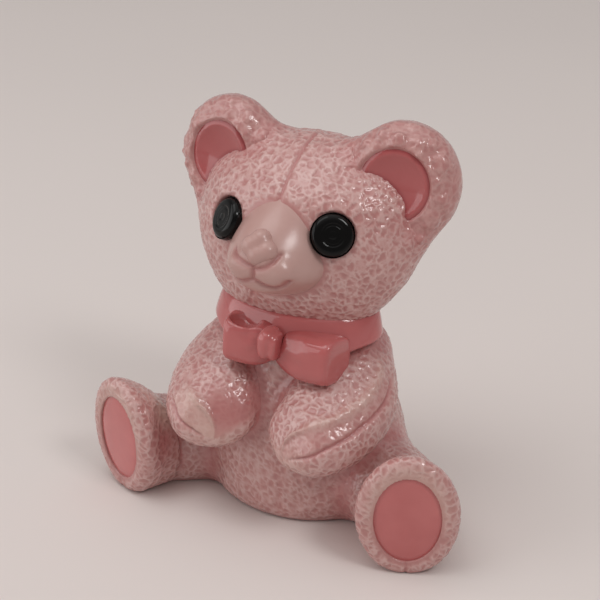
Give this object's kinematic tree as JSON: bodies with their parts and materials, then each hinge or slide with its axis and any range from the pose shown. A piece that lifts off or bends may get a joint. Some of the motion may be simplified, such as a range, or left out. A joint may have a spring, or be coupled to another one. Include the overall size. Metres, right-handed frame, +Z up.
{
  "type": "seated teddy bear figurine",
  "caption": "Seated glazed ceramic teddy bear with curly embossed fur, dished ears, button eyes, a ribbon bow at the neck and smooth foot pads; stands on a flat base as an ornament.",
  "frame": {"origin": "on the floor plane, under the middle of the figure's bounding box", "axes": "+Z up, the bear faces -Y, its left side is +X"},
  "size_m": [0.1558, 0.0868, 0.1521],
  "materials": {
    "fur_glaze": "gloss pink glaze over embossed curls",
    "deep_pink_glaze": "gloss deep dusty pink glaze",
    "pale_pink_glaze": "gloss smooth pale pink glaze",
    "black_glaze": "high gloss black glaze"
  },
  "bodies": {
    "root": {"left_ear_lining": "deep_pink_glaze", "right_ear_lining": "deep_pink_glaze", "left_foot_pad": "deep_pink_glaze", "right_foot_pad": "deep_pink_glaze", "neck_ribbon": "deep_pink_glaze", "left_bow_loop": "deep_pink_glaze", "right_bow_loop": "deep_pink_glaze", "bow_knot": "deep_pink_glaze", "muzzle": "pale_pink_glaze", "nose": "pale_pink_glaze", "left_eye": "black_glaze", "right_eye": "black_glaze", "torso": "fur_glaze", "head": "fur_glaze", "left_ear": "fur_glaze", "right_ear": "fur_glaze", "left_arm": "fur_glaze", "right_arm": "fur_glaze", "left_leg": "fur_glaze", "right_leg": "fur_glaze"}
  },
  "joints": []
}
